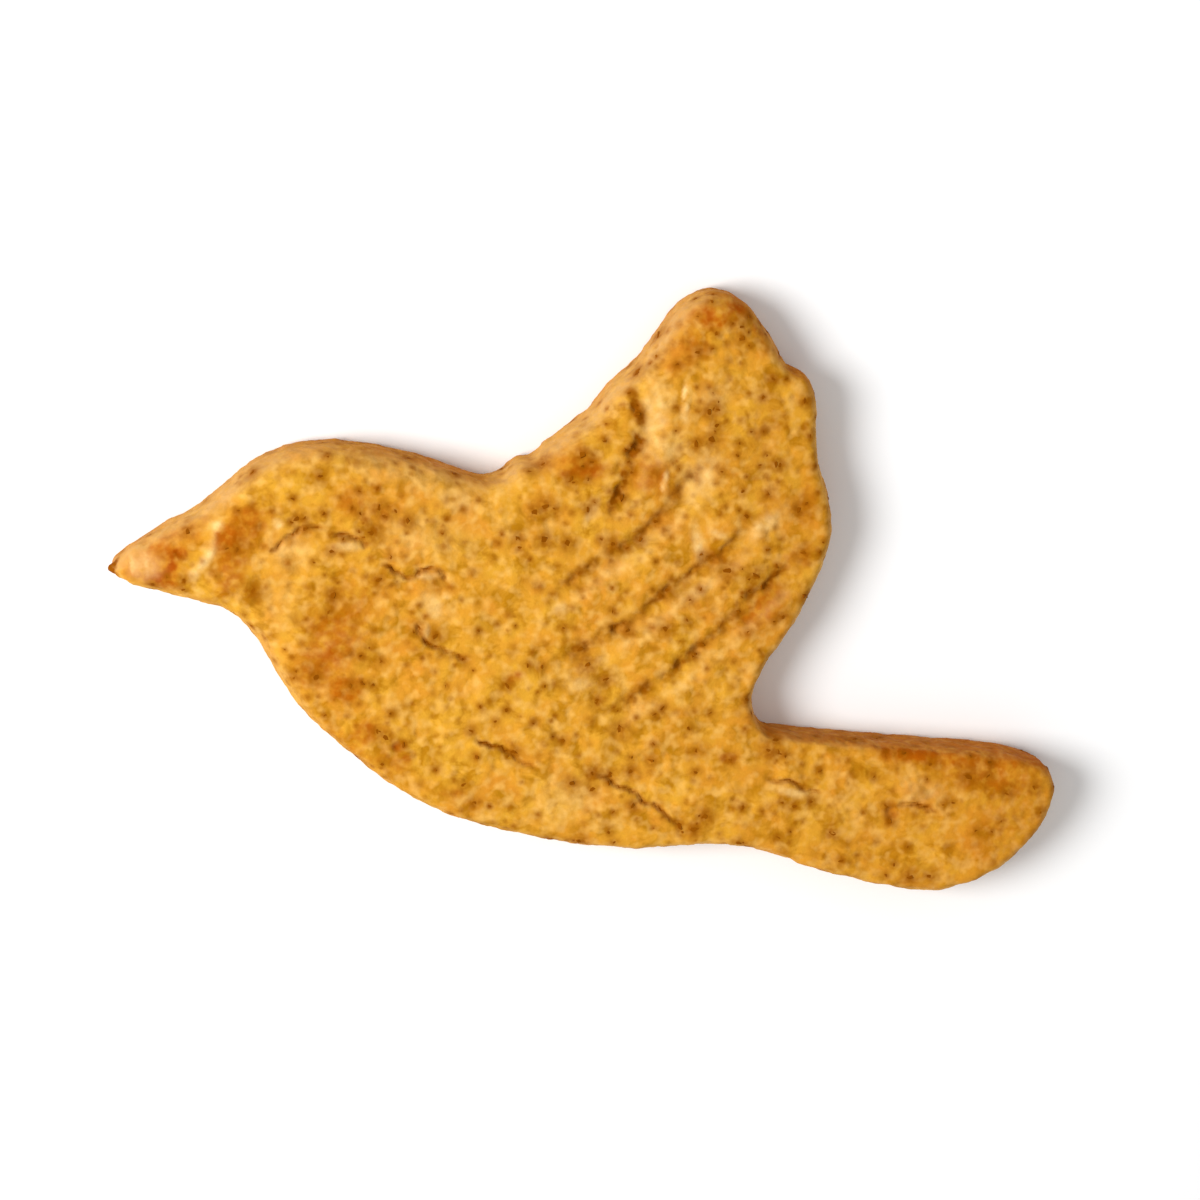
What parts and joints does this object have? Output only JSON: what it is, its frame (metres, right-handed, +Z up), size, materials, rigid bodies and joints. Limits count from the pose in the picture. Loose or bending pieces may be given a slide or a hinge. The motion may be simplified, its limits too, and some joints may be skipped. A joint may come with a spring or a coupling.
{
  "type": "shortbread cookie",
  "caption": "Flat baked shortbread cookie in the shape of a songbird in flight, with rounded edges, feather grooves scored in its wing and small oven cracks.",
  "frame": {"origin": "centre of the plan's bounding box, on the flat underside", "axes": "+X from the beak to the tail, +Y towards the raised wing, +Z up out of the shown face"},
  "size_m": [0.1, 0.0642, 0.008],
  "materials": {
    "shortbread": "matt golden baked crust with dark tea specks",
    "tea_leaf": "dry dark brown tea flecks"
  },
  "bodies": {
    "root": {"cookie": "shortbread"}
  },
  "joints": []
}
